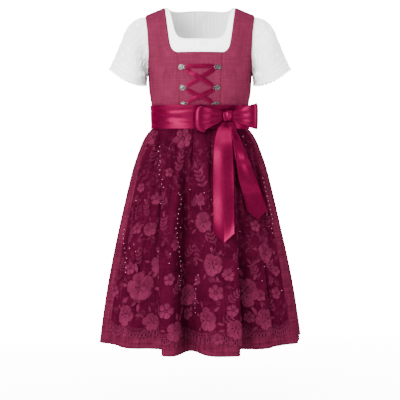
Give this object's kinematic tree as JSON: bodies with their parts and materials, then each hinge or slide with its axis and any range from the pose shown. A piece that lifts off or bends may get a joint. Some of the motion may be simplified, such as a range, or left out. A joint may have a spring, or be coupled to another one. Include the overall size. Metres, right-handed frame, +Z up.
{
  "type": "girl's dirndl with blouse and apron",
  "caption": "Filled-out girl's dirndl: laced bodice, gathered skirt, puff-sleeved blouse and embroidered net apron tied with a wide satin bow.",
  "frame": {"origin": "middle of the body at the height of the shoulders, where a wearer carries the dress", "axes": "+Z up the body, the front faces -Y, +X to the viewer's right"},
  "size_m": [0.4412, 0.4048, 0.7139],
  "materials": {
    "bodice_cloth": "matt slubbed linen-look cloth, dusty burgundy",
    "skirt_cloth": "matt slubbed linen-look cloth, burgundy",
    "apron_net": "dark burgundy net with raised tone-on-tone flower embroidery",
    "satin": "smooth shiny satin, burgundy",
    "blouse_cotton": "matt white cotton",
    "sleeve_lace": "white net with corded lace pattern",
    "hook_silver": "antique silver filigree"
  },
  "bodies": {
    "root": {"bodice_front_middle": "bodice_cloth", "bodice_front_left": "bodice_cloth", "bodice_front_right": "bodice_cloth", "bodice_back_left": "bodice_cloth", "bodice_back_right": "bodice_cloth", "skirt_front_left": "skirt_cloth", "skirt_front_right": "skirt_cloth", "skirt_back_left": "skirt_cloth", "skirt_back_right": "skirt_cloth", "apron_panel": "apron_net", "sash_front": "satin", "sash_back": "satin", "bow_knot": "satin", "bow_loop_left": "satin", "bow_loop_right": "satin", "bow_tail_left": "satin", "bow_tail_right": "satin", "lace_bar": "satin", "lace_upper_over": "satin", "lace_upper_under": "satin", "lace_lower_over": "satin", "lace_lower_under": "satin", "blouse_front": "blouse_cotton", "blouse_back": "blouse_cotton", "neck_bow": "blouse_cotton", "neck_label": "blouse_cotton", "sleeve_left": "sleeve_lace", "sleeve_right": "sleeve_lace", "hook_top_left": "hook_silver", "hook_top_right": "hook_silver", "hook_middle_left": "hook_silver", "hook_middle_right": "hook_silver", "hook_bottom_left": "hook_silver", "hook_bottom_right": "hook_silver"}
  },
  "joints": []
}
